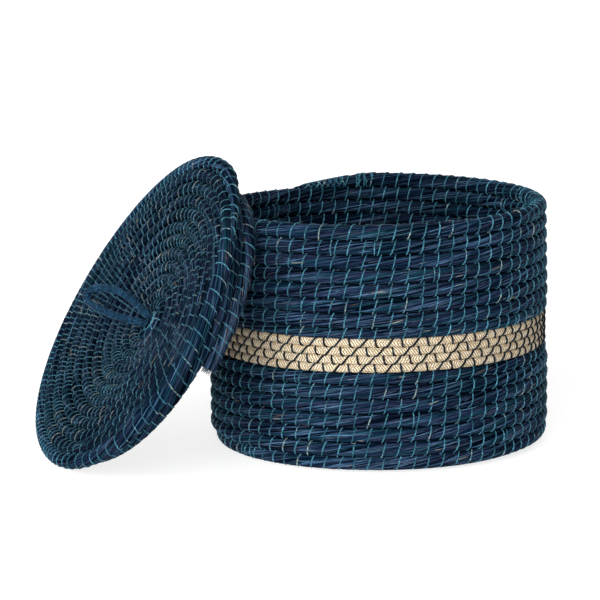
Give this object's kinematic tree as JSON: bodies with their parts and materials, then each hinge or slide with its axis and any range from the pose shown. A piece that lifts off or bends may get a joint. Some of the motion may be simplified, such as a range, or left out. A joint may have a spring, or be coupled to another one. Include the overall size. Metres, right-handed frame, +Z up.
{
  "type": "coiled grass basket",
  "caption": "Round lidded storage basket of stitched grass coils with a natural braid band; the loose lid has a cord loop handle and leans on the rim.",
  "frame": {"origin": "middle of the basket's base, on the ground", "axes": "+Z up along the basket's axis, -Y towards the viewer, -X towards the side where the lid leans"},
  "size_m": [0.455, 0.3654, 0.2581],
  "materials": {
    "dyed_grass": "navy dyed grass with teal stitches, slightly shiny strands",
    "natural_braid": "undyed matte braid",
    "wrapped_cord": "matte blue thread wrapped round a cord"
  },
  "bodies": {
    "basket": {"base_start_knot": "dyed_grass", "base_coil": "dyed_grass", "lower_wall_coil": "dyed_grass", "braid_band_coil": "natural_braid", "upper_wall_coil": "dyed_grass"},
    "lid": {"lid_start_knot": "dyed_grass", "lid_top_coil": "dyed_grass", "lid_flange_coil": "dyed_grass"},
    "handle": {"handle_loop": "wrapped_cord"}
  },
  "joints": [
    {"name": "lid_lift", "type": "slide", "parent": "basket", "child": "lid", "axis": [0, 0, 1], "range_m": [0, 0.3]},
    {"name": "handle_swing", "type": "hinge", "parent": "lid", "child": "handle", "pos_m": [-0.20102, -0.0767, 0.12108], "axis": [0.4719, 0.2101, 0.8563], "range_deg": [-70, 70]}
  ]
}
